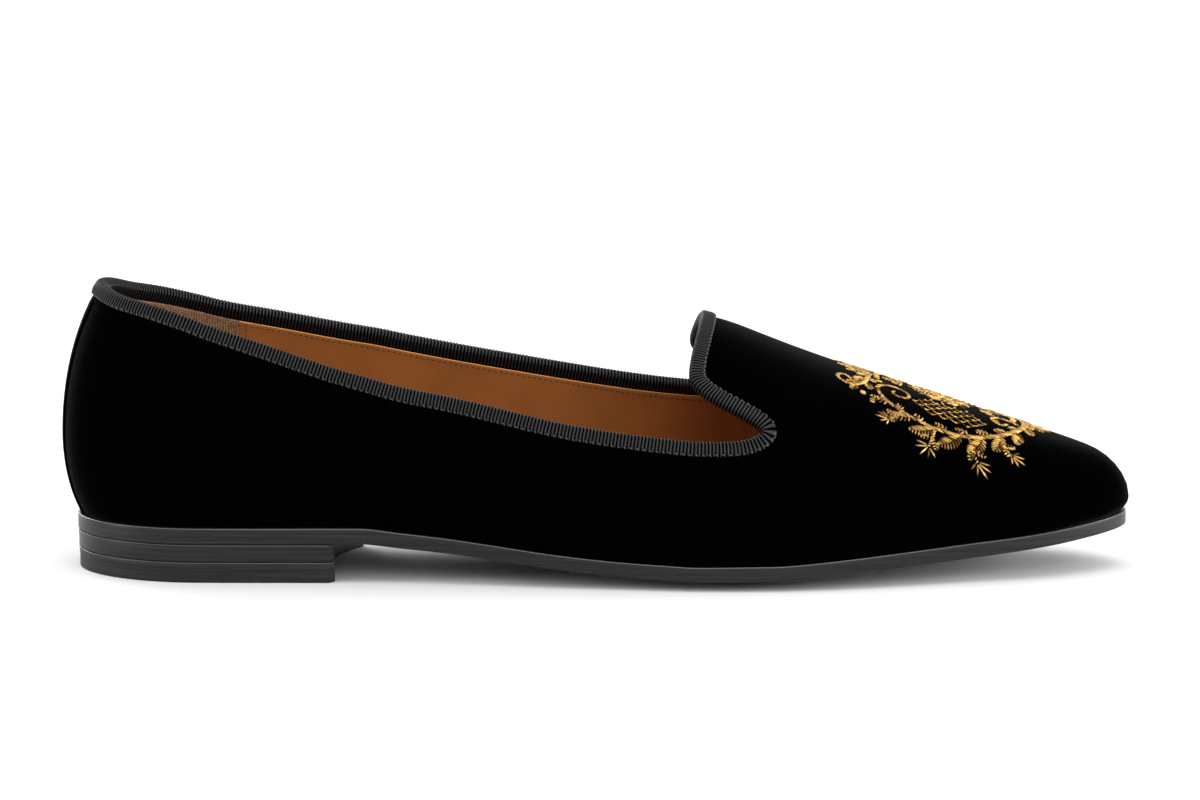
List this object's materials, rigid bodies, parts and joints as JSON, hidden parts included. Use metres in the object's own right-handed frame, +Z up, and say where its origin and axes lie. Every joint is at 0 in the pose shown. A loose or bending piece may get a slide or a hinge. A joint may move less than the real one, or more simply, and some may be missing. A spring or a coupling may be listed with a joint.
{
  "type": "velvet slipper loafer",
  "caption": "Right velvet slipper loafer with a low stacked heel, a ribbon bound collar with notched tongue, and gold embroidery on the vamp.",
  "frame": {"origin": "middle of the shoe's bounding box, on the plane it stands on", "axes": "+X from heel to toe, +Y to the medial (inner) side, +Z up"},
  "size_m": [0.2619, 0.0815, 0.0702],
  "materials": {
    "upper": "black velvet",
    "collar_binding": "black grosgrain ribbon",
    "insole": "tan leather, matt",
    "outsole": "charcoal dyed leather edge, satin",
    "heel_lift": "charcoal dyed leather edge, satin",
    "heel_top_piece": "charcoal rubber, satin"
  },
  "bodies": {
    "root": {"upper": "upper", "collar_binding": "collar_binding", "insole": "insole", "outsole": "outsole", "heel_lift": "heel_lift", "heel_top_piece": "heel_top_piece"}
  },
  "joints": []
}
